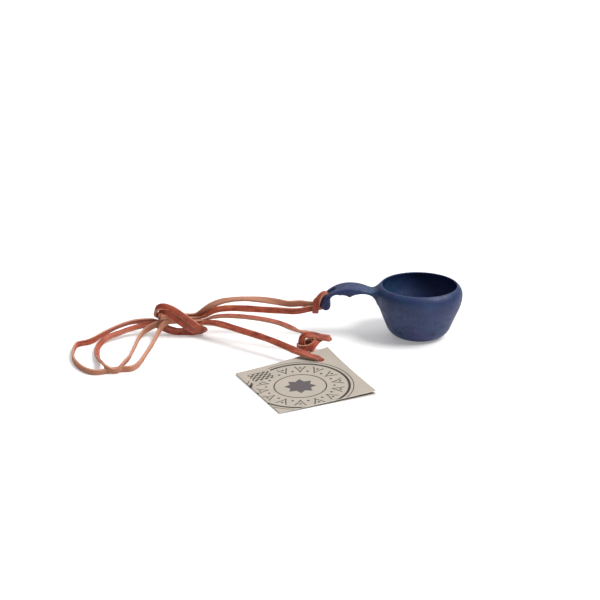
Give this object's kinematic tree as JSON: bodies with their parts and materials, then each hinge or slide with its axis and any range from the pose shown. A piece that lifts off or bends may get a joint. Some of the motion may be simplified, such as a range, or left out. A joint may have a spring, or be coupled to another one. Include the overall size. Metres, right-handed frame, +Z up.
{
  "type": "kuksa cup",
  "caption": "Small one-piece kuksa cup with an arched finger handle, a knotted flat leather lace hitched through its handle slot and a folded card hang tag.",
  "frame": {"origin": "centre of the cup's flat base", "axes": "+Z up out of the bowl's mouth, -X along the handle from the bowl, Y across"},
  "size_m": [0.2473, 0.1502, 0.0345],
  "materials": {
    "cup_composite": "dark blue moulded wood-fibre composite, satin, faintly mottled",
    "lace_leather": "waxed russet leather, smooth grain side and paler flesh side",
    "tag_card": "uncoated recycled card with dark print"
  },
  "bodies": {
    "cup": {"cup": "cup_composite", "lace_hitch": "lace_leather"},
    "lace": {"lead_strand_upper": "lace_leather", "lead_strand_lower": "lace_leather", "bundle_knot": "lace_leather", "outer_loop": "lace_leather", "inner_loop": "lace_leather", "tie_strand_knot": "lace_leather", "tie_strand_tag": "lace_leather", "stopper_knot": "lace_leather", "lace_ends": "lace_leather"},
    "tag": {"tag_back_leaf": "tag_card"},
    "cover": {"tag_front_leaf": "tag_card"}
  },
  "joints": [
    {"name": "lace_swing", "type": "hinge", "parent": "cup", "child": "lace", "pos_m": [-0.0694, 0, 0.0195], "axis": [0, 1, 0], "range_deg": [-60, 95]},
    {"name": "tag_turn", "type": "hinge", "parent": "lace", "child": "tag", "pos_m": [-0.0639, -0.0539, 0.004], "axis": [0, 0, 1], "range_deg": [-45, 10]},
    {"name": "cover_open", "type": "hinge", "parent": "tag", "child": "cover", "pos_m": [-0.10136, -0.09459, 0.0005], "axis": [0.4384, -0.8988, 0], "range_deg": [-1.1, 0]}
  ]
}
